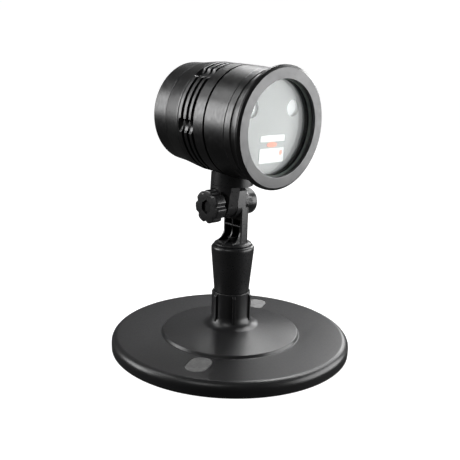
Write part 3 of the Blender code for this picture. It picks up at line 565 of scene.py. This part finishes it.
PAINT = painted("plate_paint", (0.19, 0.197, 0.196), (0.215, 0.222, 0.221), 0.42)
PAPER = painted("label_paper", (0.74, 0.74, 0.74), (0.8, 0.8, 0.8), 0.55)
ORANGE = painted("label_orange", (0.75, 0.16, 0.07), (0.85, 0.22, 0.1), 0.5)
BLACK_STEEL = machined("black_steel", (0.02, 0.02, 0.021), (0.04, 0.04, 0.04), 0.4)
FILM = painted("grating_film", (0.8, 0.82, 0.84), (0.88, 0.9, 0.9), 0.3)
GLASS = clear("window")
BOARD = circuit("solder_mask")
MOULDED_PART = moulded("component", (0.014, 0.014, 0.015), (0.03, 0.03, 0.032), 0.45)


# ---------------------------------------------------------------- base

def base_outline():
    """Outer profile of the base shell, from the bottom edge up to the collar rim."""
    slope = math.radians(CONE_SLOPE)
    flare_x = COLLAR_R + FLARE_R
    cone_r = flare_x - FLARE_R * math.sin(slope)
    cone_z = STEP_TOP + (STEP_R - 1.7 - cone_r) * math.tan(slope)
    flare_z = cone_z + FLARE_R * math.cos(slope)
    edge = arc(BASE_R - BASE_EDGE_R, BASE_TOP - BASE_EDGE_R, BASE_EDGE_R, 0, 90, 14)
    step = (arc(STEP_R + 1.2, BASE_TOP + 1.0, 1.0, 270, 200, 5)
            + arc(STEP_R - 1.4, STEP_TOP - 1.2, 1.2, 20, 90 - CONE_SLOPE, 6))
    flare = arc(flare_x, flare_z, FLARE_R, 270 - CONE_SLOPE, 180, 18)
    rim = arc(COLLAR_R - 0.45, COLLAR_TOP - 0.45, 0.45, 0, 90, 4)
    foot = [(BASE_R - 0.6, BASE_LIFT), (BASE_R - 0.15, BASE_LIFT + 0.5), (BASE_R, 3.7)]
    return foot + edge + step + flare + rim


def make_base():
    """The base moulding with its collar, ribs and recesses, and the two covers."""
    under = BASE_TOP - SHELL
    inside = [(SOCKET_R_TOP + 0.3, COLLAR_TOP), (SOCKET_R_TOP, COLLAR_TOP - 0.3),
              (SOCKET_R_LOW, SOCKET_FLOOR), (0, SOCKET_FLOOR), (0, SOCKET_FLOOR - SHELL),
              (15.0, SOCKET_FLOOR - SHELL), (24.0, STEP_TOP + 1.2), (STEP_R - 2.5, STEP_TOP - SHELL),
              (STEP_R - 1.0, under), (BASE_R - 6.2, under), (BASE_R - 3.0, under - 3.0),
              (BASE_R - 3.0, BASE_LIFT)]
    bm = bmesh.new()
    lathe(bm, base_outline() + inside, 288)
    shell = solid("base_moulding", bm, BASE_AT)
    recess = bmesh.new()
    half_l = PATCH_L / 2 + 0.3
    half_w = PATCH_W / 2 + 0.3
    outline = rectangle(PATCH_MID - half_l, PATCH_MID + half_l, -half_w, half_w, half_w - 0.1)
    for turn in (PATCH_TURN, PATCH_TURN + 180.0):
        prism(recess, outline, BASE_TOP - 1.0, BASE_TOP + 1.0, Matrix.Rotation(math.radians(turn), 4, "Z"))
    cut(shell, solid("recess", recess, BASE_AT))
    ribs = bmesh.new()
    ribs.from_mesh(shell.data)
    bmesh.ops.scale(ribs, vec=(1 / MM, 1 / MM, 1 / MM), verts=ribs.verts)
    for i in range(RIB_COUNT):
        turn = Matrix.Rotation(math.radians(RIB_TURN + 360.0 / RIB_COUNT * i), 4, "Z")
        side = turn @ Matrix.Rotation(math.radians(90), 4, "X")
        reach = softened([(COLLAR_R - 0.8, 19.6), (RIB_REACH, 19.6), (RIB_REACH, COLLAR_TOP - 2.6, 0.8),
                          (COLLAR_R - 0.8, COLLAR_TOP - 0.3)], 0.2)
        prism(ribs, reach, -RIB_W / 2, RIB_W / 2, side, 0.45)
    bpy.data.objects.remove(shell, do_unlink=True)
    piece(solid("base_moulding", ribs, BASE_AT), NYLON, "base", ["base_shell"])

    outline = rectangle(PATCH_MID - PATCH_L / 2, PATCH_MID + PATCH_L / 2,
                        -PATCH_W / 2, PATCH_W / 2, PATCH_W / 2 - 0.1)
    for side, turn in (("front", PATCH_TURN), ("rear", PATCH_TURN + 180.0)):
        bm = bmesh.new()
        prism(bm, outline, BASE_TOP - 0.7, BASE_TOP, Matrix.Rotation(math.radians(turn), 4, "Z"), 0.25)
        piece(solid("cover_" + side, bm, BASE_AT), PATCH, "base", ["blanking_cover_" + side])

    for i in range(1, 5):
        low, high = box(f"foot_pad_{i}")
        mid = (low + high) / 2
        profile = softened([(0, 0.0), (7.0, 0.0, 0.4), (7.0, high.z, 0.2), (0, high.z)], 0.2)
        turned(f"pad_{i}", profile, RUBBER, "base", [f"foot_pad_{i}"],
               Matrix.Translation((mid.x, mid.y, 0)), 48)


# ---------------------------------------------------------------- stem and arm

def make_stem():
    """The tapered plug with its rounded top."""
    e = STEM_EDGE_R
    profile = [(9.4, STEM_LOW), (11.6, STEM_LOW), (12.1, STEM_LOW + 0.6),
               (STEM_R_RIM, COLLAR_TOP), (STEM_R_TOP, STEM_SHOULDER)]
    profile += arc(STEM_R_TOP - e, STEM_TOP - e, e, 0, 90, 12)
    profile = softened(profile + [(2.7, STEM_TOP), (2.7, 82.0), (11.4, 82.0)], 0.3)
    turned("plug", profile, NYLON_FINE, "stem", ["stem_plug"], BASE_AT, 160)


def gusset_outline(reach):
    """Rib that curves outwards onto the foot, in the (x, z) plane."""
    x0 = ARM_X[0]
    low = STEM_TOP + 2.0
    curve = arc(x0 - 9.5, low + 10.5, 9.5, 0, -78, 14)
    back = x0 + reach
    return [(back, 104.0), (x0, 104.0)] + curve + [(x0 - 9.2, low - 1.0), (back, low - 1.0)]


def ear_outline(shrink=0.0):
    """Rounded upright tongue of the arm, in the (y, z) plane through the hinge axis."""
    half = ARM_HALF - shrink
    shoulder = math.degrees(math.acos(half / (EAR_R - shrink)))
    top = arc(0, HINGE_Z, EAR_R - shrink, shoulder, 180 - shoulder, 24)
    return softened(top + arc(0, HINGE_Z - 2.0, half, 180, 360, 24), 0.6)


def make_arm():
    """Foot, ribbed slab, hinge ear and nut boss."""
    bm = bmesh.new()
    foot = softened([(0, ARM_LOW), (FOOT_R, ARM_LOW, 0.3), (FOOT_R, ARM_LOW + 1.1, 0.7),
                     (ARM_HALF + 2.2, ARM_LOW + 2.3, 2.0), (0, ARM_LOW + 2.5)], 0.3, 6)
    lathe(bm, foot, 128)
    front, back = ARM_X
    prism(bm, rectangle(4.2, back, -ARM_HALF, ARM_HALF, 2.0), ARM_LOW + 1.2, HINGE_Z - 1.0, edge=0.4)
    for side in (-1, 1):
        y = sorted((side * 8.4, side * ARM_HALF))
        prism(bm, rectangle(front, back - 0.6, *y, 1.0), ARM_LOW + 1.2, HINGE_Z - 2.0, edge=0.4)
    block(bm, (front, 5.0), (-0.7, 0.7), (ARM_LOW + 1.0, HINGE_Z - 4.0), 0.25)
    block(bm, (front, 5.0), (-9.0, 9.0), (103.5, 104.7), 0.25)
    block(bm, (front, 5.0), (-9.0, 9.0), (109.6, HINGE_Z - 4.0), 0.5)
    for y in (-9.1, 0.0, 9.1):
        prism(bm, gusset_outline(4.0), -y - 0.7, -y + 0.7, FACE_Y, 0.25)
    lathe(bm, softened([(0, ARM_LOW + 1.0), (4.0, ARM_LOW + 1.0), (4.0, 94.6), (0, 94.6)], 0.4), 48)
    prism(bm, ear_outline(), *EAR_X, FACE_X, 0.55, 4)
    boss = softened([(BOLT_HOLE_R, EAR_X[1] - 1.0), (BOSS_R, EAR_X[1] - 1.0),
                     (BOSS_R, BOSS_END, 1.6), (6.9, BOSS_END, 0.3), (6.9, 11.0), (BOLT_HOLE_R, 11.0)], 0.3, 6)

    def hexagon(r, z, angle):
        """The nut's pocket has six sides."""
        return six_sided(6.1, angle) if 6.0 < r < 7.5 and z > 10.0 else r

    lathe(bm, boss, 144, KNOB_AT, hexagon)

    def within_ear(r, z, angle):
        """The fillet is as wide as the ear and as round as its top."""
        return min(r, max(BOSS_R, (ARM_HALF - 0.6) / max(abs(math.sin(angle)), 0.01)))

    fillet = [(BOLT_HOLE_R, EAR_X[1] - 1.0), (EAR_R - 0.8, EAR_X[1] - 1.0), (EAR_R - 0.8, EAR_X[1] - 0.5)]
    fillet += [(BOSS_R + 0.05 + 3.4 * (1 - math.sin(t)), EAR_X[1] - 0.5 + 7.0 * (1 - math.cos(t)))
               for t in (math.radians(9 * i) for i in range(11))]
    lathe(bm, fillet + [(BOLT_HOLE_R, EAR_X[1] + 6.5)], 144, KNOB_AT, within_ear)
    piece(solid("arm_moulding", bm, BASE_AT), NYLON_FINE, "arm_bracket", ["arm"])


# ---------------------------------------------------------------- knob

def make_knob():
    """Seven soft lobes round a raised rim with a deep hexagon socket."""

    def lobes(r, angle):
        """Hollow notches between the lobes, fading towards the middle."""
        if r < 9.0:
            return r
        part = (angle - math.radians(180.0 - KNOB_TURN)) * KNOB_LOBES
        dip = max(0.0, math.cos(part)) ** 1.6
        return r - 1.9 * dip * (r - 9.0) / (KNOB_R - 9.0)

    bm = bmesh.new()
    profile = softened([(6.0, KNOB_FACE, 0.4), (9.4, KNOB_FACE, 0.5), (KNOB_R, KNOB_FACE + 0.25, 1.3),
                        (KNOB_R, KNOB_BACK, 0.9), (6.6, KNOB_BACK), (6.6, KNOB_BACK + 2.4),
                        (BOLT_HOLE_R, KNOB_BACK + 2.4), (BOLT_HOLE_R, KNOB_FACE + 5.6),
                        (6.0, KNOB_FACE + 5.6)], 0.3, 6)

    def shape(r, z, angle):
        """Lobes outside and a hexagon inside."""
        if 5.5 < r < 6.5 and z < KNOB_FACE + 6.0:
            return six_sided(5.7, angle)
        return lobes(r, angle)

    lathe(bm, profile, 336, shape=shape)
    piece(solid("knob_moulding", bm, KNOB_AT), NYLON_FINE, "knob_set", ["knob"])


# ---------------------------------------------------------------- hinge column

def make_column():
    """Tongue beside the arm's ear, and the saddle under the barrel."""
    outline = arc(0, 0, 10.6, 180, 360, 40) + [(12.2, SEAM - 0.2), (-12.2, SEAM - 0.2)]
    bm = bmesh.new()
    prism(bm, outline, -22.0, TONGUE_X, FACE_X)
    tongue = solid("tongue_moulding", bm, HEAD_AT)
    bm = bmesh.new()
    lathe(bm, [(0, -20.0), (COLUMN_R, -20.0), (COLUMN_R, 30.0), (0, 30.0)], 160,
          Matrix.Translation((HEAD_X, 0, 0)))
    cut(tongue, solid("column", bm, HEAD_AT), "INTERSECT")
    bm = bmesh.new()
    seat = KNOB_R + 0.5
    lathe(bm, [(0, -24.0), (seat, -24.0), (seat, -16.4), (0, -16.4)], 96, ALONG_X)
    past = TONGUE_X + 1.0
    lathe(bm, [(0, -17.0), (BOLT_HOLE_R, -17.0), (BOLT_HOLE_R, past), (0, past)], 48, ALONG_X)
    cut(tongue, solid("seat", bm, HEAD_AT))
    rounded_edges(tongue, 0.45)
    piece(tongue, NYLON_FINE, "head", ["tongue"])

    bm = bmesh.new()
    lathe(bm, [(0, SEAM + 0.1), (COLUMN_R, SEAM + 0.1), (COLUMN_R, 30.0), (0, 30.0)], 160,
          Matrix.Translation((HEAD_X, 0, 0)))
    saddle = solid("saddle_moulding", bm, HEAD_AT)
    bm = bmesh.new()
    radius = BARREL_R + 0.3
    lathe(bm, [(0, -30.0), (radius, -30.0), (radius, 30.0), (0, 30.0)], 480)
    cut(saddle, solid("barrel_room", bm, BARREL_AT))
    rounded_edges(saddle, 0.4)
    piece(saddle, NYLON_FINE, "head", ["saddle"])


# ---------------------------------------------------------------- barrel

def make_barrel():
    """Turned tube with three fins, six flutes across them and a band groove."""
    r = BARREL_R
    half = FIN_GROOVE_W / 2
    low = FIN_GROOVES[0] - 4.4
    high = FIN_GROOVES[-1] - 0.2
    away = r - FLUTE_DEPTH + FLUTE_R

    def fluted(out, z, angle):
        """A round cutter has passed along the fins at each flute."""
        if out < FIN_GROOVE_FLOOR - 0.1 or not low < z < high:
            return out
        step = math.tau / FLUTE_COUNT
        off = (angle - math.radians(FLUTE_TURN) + step / 2) % step - step / 2
        reach = FLUTE_R ** 2 - (away * math.sin(off)) ** 2
        if reach <= 0:
            return out
        runout = max(0.0, 1.0 - (z - low) / 1.6)
        return min(out, away * math.cos(off) - math.sqrt(reach) + FLUTE_DEPTH * runout ** 2)

    profile = softened([(BORE_R, BARREL_REAR), (REAR_R, BARREL_REAR, 0.5), (r, TAPER_START)], 0.2)
    profile += [(r, low + 0.02 + 0.2 * i) for i in range(9)]
    edge = 0.28
    turns = [math.radians(22.5 * i) for i in range(5)]
    for mid in FIN_GROOVES:
        profile += [(r - edge * (1 - math.cos(a)), mid - half - edge * (1 - math.sin(a))) for a in turns]
        profile += [(FIN_GROOVE_FLOOR, mid - half), (FIN_GROOVE_FLOOR, mid + half)]
        profile += [(r - edge * (1 - math.cos(a)), mid + half + edge * (1 - math.sin(a)))
                    for a in reversed(turns)]
    band = (BAND_GROOVE - 1.1, BAND_GROOVE + 1.1)
    profile += softened([(r, band[0], 0.25), (r - 2.0, band[0]), (r - 2.0, band[1]), (r, band[1], 0.25),
                         (FRONT_R, BARREL_STEP, 0.4), (SPIGOT_R, BARREL_STEP), (SPIGOT_R, SPIGOT_END),
                         (BORE_R, SPIGOT_END)], 0.15)
    turned("barrel_tube", profile, ANODISED, "head", ["barrel"], BARREL_AT, 720, fluted)


def make_rear_cap():
    """Cup with a rounded edge, sunk screws and the gland's hole."""
    front = BARREL_REAR - 0.3
    profile = softened([(0, CAP_REAR), (CAP_R - 1.2, CAP_REAR, 0.8), (CAP_R, CAP_REAR + 1.5, 1.5),
                        (REAR_R - 0.3, front, 0.35), (BORE_R - 0.3, front), (BORE_R - 0.3, front + 2.2),
                        (BORE_R - 1.9, front + 2.2), (BORE_R - 1.9, front + 4.2), (BORE_R - 0.3, front + 4.2),
                        (BORE_R - 0.3, front + 6.0), (34.4, front + 6.0), (34.4, CAP_REAR + 4.0),
                        (0, CAP_REAR + 4.0)], 0.2)
    bm = bmesh.new()
    lathe(bm, profile, 256)
    cap = solid("rear_cap_turned", bm, BARREL_AT)
    bm = bmesh.new()
    sunk = [(0, CAP_REAR - 1.0), (4.0, CAP_REAR - 1.0), (3.4, CAP_REAR + 0.4), (3.4, CAP_REAR + 1.8),
            (1.8, CAP_REAR + 1.8), (1.8, CAP_REAR + 5.0), (0, CAP_REAR + 5.0)]
    for i in range(3):
        a = math.radians(90 + 120 * i)
        at = (CAP_SCREW_CIRCLE * math.cos(a), CAP_SCREW_CIRCLE * math.sin(a), 0)
        lathe(bm, sunk, 48, Matrix.Translation(at))
    hole = GLAND_R + 0.4
    lathe(bm, [(0, CAP_REAR - 1.0), (hole, CAP_REAR - 1.0), (hole, CAP_REAR + 5.0), (0, CAP_REAR + 5.0)],
          64, Matrix.Translation((0, GLAND_UP, 0)))
    cut(cap, solid("cap_holes", bm, BARREL_AT))
    piece(cap, ANODISED, "head", ["rear_cap"])


def make_gland():
    """Nylon gland with a hexagon flange and a domed, knurled cap."""
    place = BARREL_AT @ Matrix.Translation((0, GLAND_UP, 0))
    back = CAP_REAR

    def flats(r, z, angle):
        """Hexagon flange of the body."""
        return min(r, six_sided(8.8, angle)) if r > 7.0 else r

    body = softened([(4.2, back - 8.0), (GLAND_R, back - 8.0), (GLAND_R, back - 4.0), (8.2, back - 4.0),
                     (8.2, back - 0.3), (GLAND_R, back - 0.3), (GLAND_R, back + 7.6), (4.2, back + 7.6)], 0.3)
    turned("gland_base", body, NYLON_FINE, "head", ["gland_body"], place, 144, flats)

    def knurl(r, z, angle):
        """Grip ridges round the cap."""
        if r < 7.0:
            return r
        return r - 0.28 * (0.5 - 0.5 * math.cos(angle * 18)) ** 3

    cap = softened([(4.4, back - 15.0, 0.3), (6.0, back - 15.0, 0.9), (7.8, back - 12.3, 1.6),
                    (7.8, back - 4.4, 0.4), (6.1, back - 4.4), (6.1, back - 10.8), (4.4, back - 10.8)],
                   0.2, 6)
    turned("gland_nut", cap, NYLON_FINE, "head", ["gland_cap"], place, 216, knurl)


def make_bezel():
    """Screwed ring: a band, a waisted neck, a lip, and the flat face round the window."""
    r = FRONT_R
    start = BARREL_STEP + 0.3
    band = [(40.5, start), (r, start, 0.35), (r, 36.5, 0.3), (r - 0.8, 37.2, 0.4)]
    neck = [(r - 1.2, 40.0, 2.0), (r - 0.8, 43.2, 1.0)]
    lip = [(LIP_R - 0.6, 44.7, 0.5), (LIP_R, 45.3, 0.4), (LIP_R, 46.3, 0.2), (LIP_R - 0.8, 46.5, 0.05),
           (LIP_R - 0.8, 46.9, 0.05), (LIP_R, 47.0, 0.1), (LIP_R, 47.4, 0.1)]
    face = [(BEZEL_FACE_R, BEZEL_FRONT, 0.2), (WINDOW_R, BEZEL_FRONT, 0.45), (WINDOW_R, 45.6)]
    bore = [(39.7, 45.6), (39.7, 38.6), (40.5, 37.8)]
    profile = softened(band + neck + lip + face + bore, 0.2, 5)
    turned("bezel_ring", profile, ANODISED, "head", ["bezel"], BARREL_AT, 320)


def make_window():
    """Glass disc, its two seals, and the pale plate with its labels."""
    glass = softened([(0, 39.6), (39.3, 39.6, 0.3), (39.3, 42.6, 0.3), (0, 42.6)], 0.3)
    turned("window_disc", glass, GLASS, "head", ["window_glass"], BARREL_AT, 256)
    front = softened([(35.5, 42.9), (39.3, 42.9), (39.3, 45.3), (35.5, 45.3, 0.5)], 0.5)
    # The front seal's pale grey-green tone is a painted glint of the glass's edge, on a real seal.
    turned("seal_front", front, SILICONE_PAINTED_GLINT, "head", ["window_seal_front"], BARREL_AT, 192)
    rear = softened([(35.8, 37.2), (39.3, 37.2), (39.3, 39.3), (35.8, 39.3)], 0.4)
    turned("seal_rear", rear, RUBBER, "head", ["window_seal_rear"], BARREL_AT, 192)

    bm = bmesh.new()
    plate = softened([(0, 34.6), (37.5, 34.6), (37.5, 36.8), (36.4, 36.8), (36.0, 36.4), (0, 36.4)], 0.12)
    lathe(bm, plate, 192)
    plate = solid("plate", bm, BARREL_AT)
    bm = bmesh.new()
    for x in (-LASER_X, LASER_X):
        lathe(bm, [(0, 33.0), (6.5, 33.0), (6.5, 36.1), (6.9, 38.0), (0, 38.0)], 64,
              Matrix.Translation((x, LASER_UP, 0)))
    cut(plate, solid("plate_holes", bm, BARREL_AT))
    piece(plate, PAINT, "head", ["front_plate"])

    low = 36.7
    for name, outline, high, finish in (
            ("label_field", rectangle(*LABEL_X, *LABEL_UP, 0.8), 37.0, PAPER),
            ("label_bar", rectangle(*LABEL_X, -11.0, -6.2, 0.6), 36.95, PAPER),
            ("label_mark", oval(1.6, -13.4, 5.4, 1.9), 36.9, ORANGE),
            ("label_spot", oval(11.6, -19.8, 1.7, 2.0), 37.04, ORANGE)):
        bm = bmesh.new()
        prism(bm, outline, low if name == "label_field" else 36.45, high, edge=0.08)
        made = solid(name, bm, BARREL_AT)
        nodes = ["label_plate"] if name == "label_field" else []
        piece(made, finish, "head", nodes)


# ---------------------------------------------------------------- carried-over nodes

def finish_frame():
    """Give every CAD node that is still shown its own detailed finish."""
    finishes = {"black_nylon": NYLON, "patch": PATCH, "steel": STEEL, "black_anodised": ANODISED,
                "rubber": RUBBER, "grey_silicone": SILICONE_PAINTED_GLINT, "glass": GLASS, "pale_paint": PAINT,
                "label_stock": PAPER, "alloy": ALLOY, "brass": BRASS, "board": BOARD,
                "component_black": MOULDED_PART, "black_steel": BLACK_STEEL, "grating_film": FILM}
    slots = {part["node"]: part["material_slot"] for part in frame["record"]["subparts"]}
    for name, node in frame["nodes"].items():
        for place in node.material_slots:
            place.material = finishes[slots[name]]


# ---------------------------------------------------------------- stage, lights and camera

def make_stage():
    """A pale round floor that sweeps up into a wall on every side."""
    bm = bmesh.new()
    sweep = [(0, 0.0), (2600.0, 0.0)] + arc(2600.0, 1800.0, 1800.0, -90, 0, 24)[1:] + [(4400.0, 9000.0)]
    rows = [[bm.verts.new((r * math.cos(math.tau * i / 96), r * math.sin(math.tau * i / 96), z))
             for i in range(96)] for r, z in sweep[1:]]
    middle = bm.verts.new((0, 0, 0))
    for i in range(96):
        bm.faces.new((middle, rows[0][i], rows[0][(i + 1) % 96]))
    for low, high in zip(rows, rows[1:]):
        for i in range(96):
            j = (i + 1) % 96
            bm.faces.new((low[i], low[j], high[j], high[i]))
    floor = solid("floor", bm, BASE_AT)
    f = Finish("floor_paint", 0.85, specular=0.1)
    f.colour(f.blend(f.between(f.noise(2.0, 3.0), 0.0, 1.0), (0.2, 0.2, 0.2), (0.22, 0.22, 0.22)))
    f.roughness(f.between(f.noise(20.0, 3.0), 0.8, 0.9))
    f.shader.inputs["Emission Color"].default_value = (1.0, 1.0, 1.0, 1.0)
    f.shader.inputs["Emission Strength"].default_value = 1.0
    floor.data.materials.append(f.data)
    floor.data.shade_smooth()
    floor.visible_glossy = False
    floor.visible_diffuse = False


def soft_light(name, at, aim, size, watts, spread=180.0):
    """A rectangular softbox that faces a point."""
    data = bpy.data.lights.new(name, "AREA")
    data.shape = "RECTANGLE"
    data.size, data.size_y = size[0] * MM, size[1] * MM
    data.energy = watts
    data.spread = math.radians(spread)
    made = bpy.data.objects.new(name, data)
    bpy.context.collection.objects.link(made)
    made.location = Vector(at) * MM
    made.rotation_euler = (Vector(at) - Vector(aim)).to_track_quat("Z", "Y").to_euler()
    made.visible_camera = False
    return made


def around(azimuth, elevation, distance):
    """A place round the object. Azimuth 0 looks along +Y and 90 along -X."""
    a = math.radians(azimuth)
    e = math.radians(elevation)
    return (distance * math.cos(e) * math.sin(a), -distance * math.cos(e) * math.cos(a),
            130.0 + distance * math.sin(e))


CAMERA_AZIMUTH = -44.26
CAMERA_AT = (-376.8, -383.0, 230.9)
CAMERA_AIM = (-1.86, 1.82, 99.68)
CAMERA_ROLL = 1.65
LENS = 52.94
SURROUND_STRENGTH = 0.05


def make_lights():
    """Softboxes and an even pale surround."""
    soft_light("front_box", around(45, 6, 650), (0, 0, 180), (700, 420), 5.2)
    soft_light("side_box", around(-136, 16, 1200), (0, 0, 190), (600, 620), 9.0)
    soft_light("side_top_box", around(-136, 46, 1200), (0, 0, 190), (400, 300), 1.8)
    soft_light("back_low_box", around(105, 18, 1300), (0, 0, 20), (600, 400), 5.0)
    soft_light("back_box", around(126, 40, 1200), (0, 0, 20), (520, 380), 3.0)
    soft_light("top_box", around(128, 62, 1000), (0, 0, 20), (450, 300), 1.6, 60)
    soft_light("top_right_box", around(88, 46, 1200), (0, 0, 190), (400, 400), 4.0)
    soft_light("fill_box", around(CAMERA_AZIMUTH - 30, 45, 1200), (0, 0, 130), (500, 500), 2.0)
    world = bpy.data.worlds.new("surround")
    world.use_nodes = True
    background = world.node_tree.nodes["Background"]
    background.inputs["Color"].default_value = (1.0, 1.0, 1.0, 1.0)
    background.inputs["Strength"].default_value = SURROUND_STRENGTH
    bpy.context.scene.world = world
    bpy.context.scene.view_settings.view_transform = "Standard"


def make_camera():
    """The photograph's viewpoint."""
    data = bpy.data.cameras.new("camera")
    data.sensor_width = 36.0
    data.lens = LENS
    made = bpy.data.objects.new("camera", data)
    bpy.context.collection.objects.link(made)
    away = Vector(CAMERA_AT) - Vector(CAMERA_AIM)
    made.rotation_mode = "QUATERNION"
    roll = Matrix.Rotation(math.radians(CAMERA_ROLL), 4, "Z").to_quaternion()
    made.rotation_quaternion = away.to_track_quat("Z", "Y") @ roll
    made.location = Vector(CAMERA_AT) * MM
    bpy.context.scene.camera = made


make_camera()
make_base()
make_stem()
make_arm()
make_knob()
make_column()
make_barrel()
make_rear_cap()
make_gland()
make_bezel()
make_window()
finish_frame()
make_stage()
make_lights()
